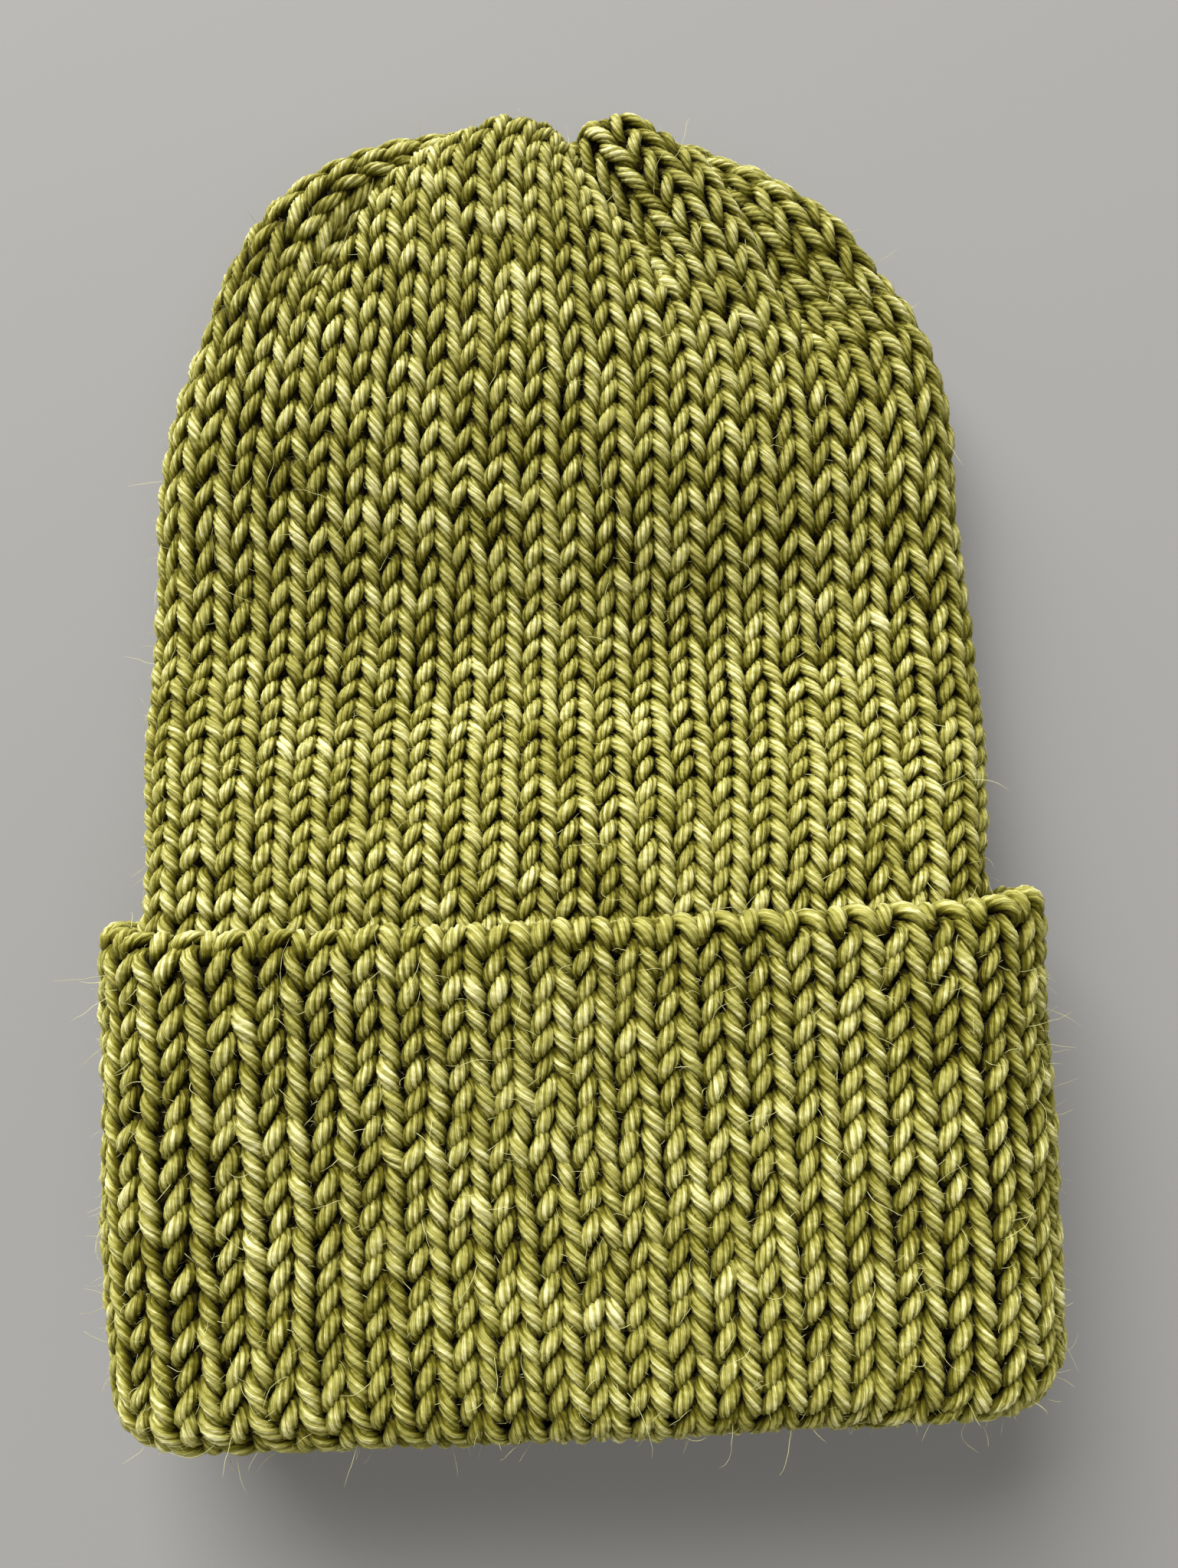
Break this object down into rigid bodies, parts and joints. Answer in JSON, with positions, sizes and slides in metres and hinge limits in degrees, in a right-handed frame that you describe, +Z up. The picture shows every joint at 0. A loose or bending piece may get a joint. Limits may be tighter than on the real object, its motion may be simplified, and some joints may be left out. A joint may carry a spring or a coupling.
{
  "type": "knit beanie",
  "caption": "Doubled stockinette beanie lying flat, with a gathered crown, a lining and a deep turned-up cuff that slides down.",
  "frame": {"origin": "on the ground below the middle of the hat as it lies flat", "axes": "+Y towards the crown along the hat's length, +Z up through its thickness, +X across it"},
  "size_m": [0.186, 0.267, 0.0487],
  "materials": {
    "body_knit": "plied wool yarn in plain stockinette, olive lime",
    "cuff_knit": "plied wool yarn in plain stockinette, olive lime",
    "lining_knit": "plied wool yarn in plain stockinette, olive lime",
    "drawstring_yarn": "plied wool yarn, olive lime"
  },
  "bodies": {
    "hat": {"shell_body": "body_knit", "shell_crown": "body_knit", "lining_body": "lining_knit", "lining_crown": "lining_knit", "crown_drawstring": "drawstring_yarn", "lining_drawstring": "drawstring_yarn", "tie_knot": "drawstring_yarn"},
    "cuff": {"cuff_face": "cuff_knit", "cuff_backing": "cuff_knit"}
  },
  "joints": [
    {"name": "cuff_turn_down", "type": "slide", "parent": "hat", "child": "cuff", "axis": [0, -1, 0], "range_m": [0, 0.081]}
  ]
}
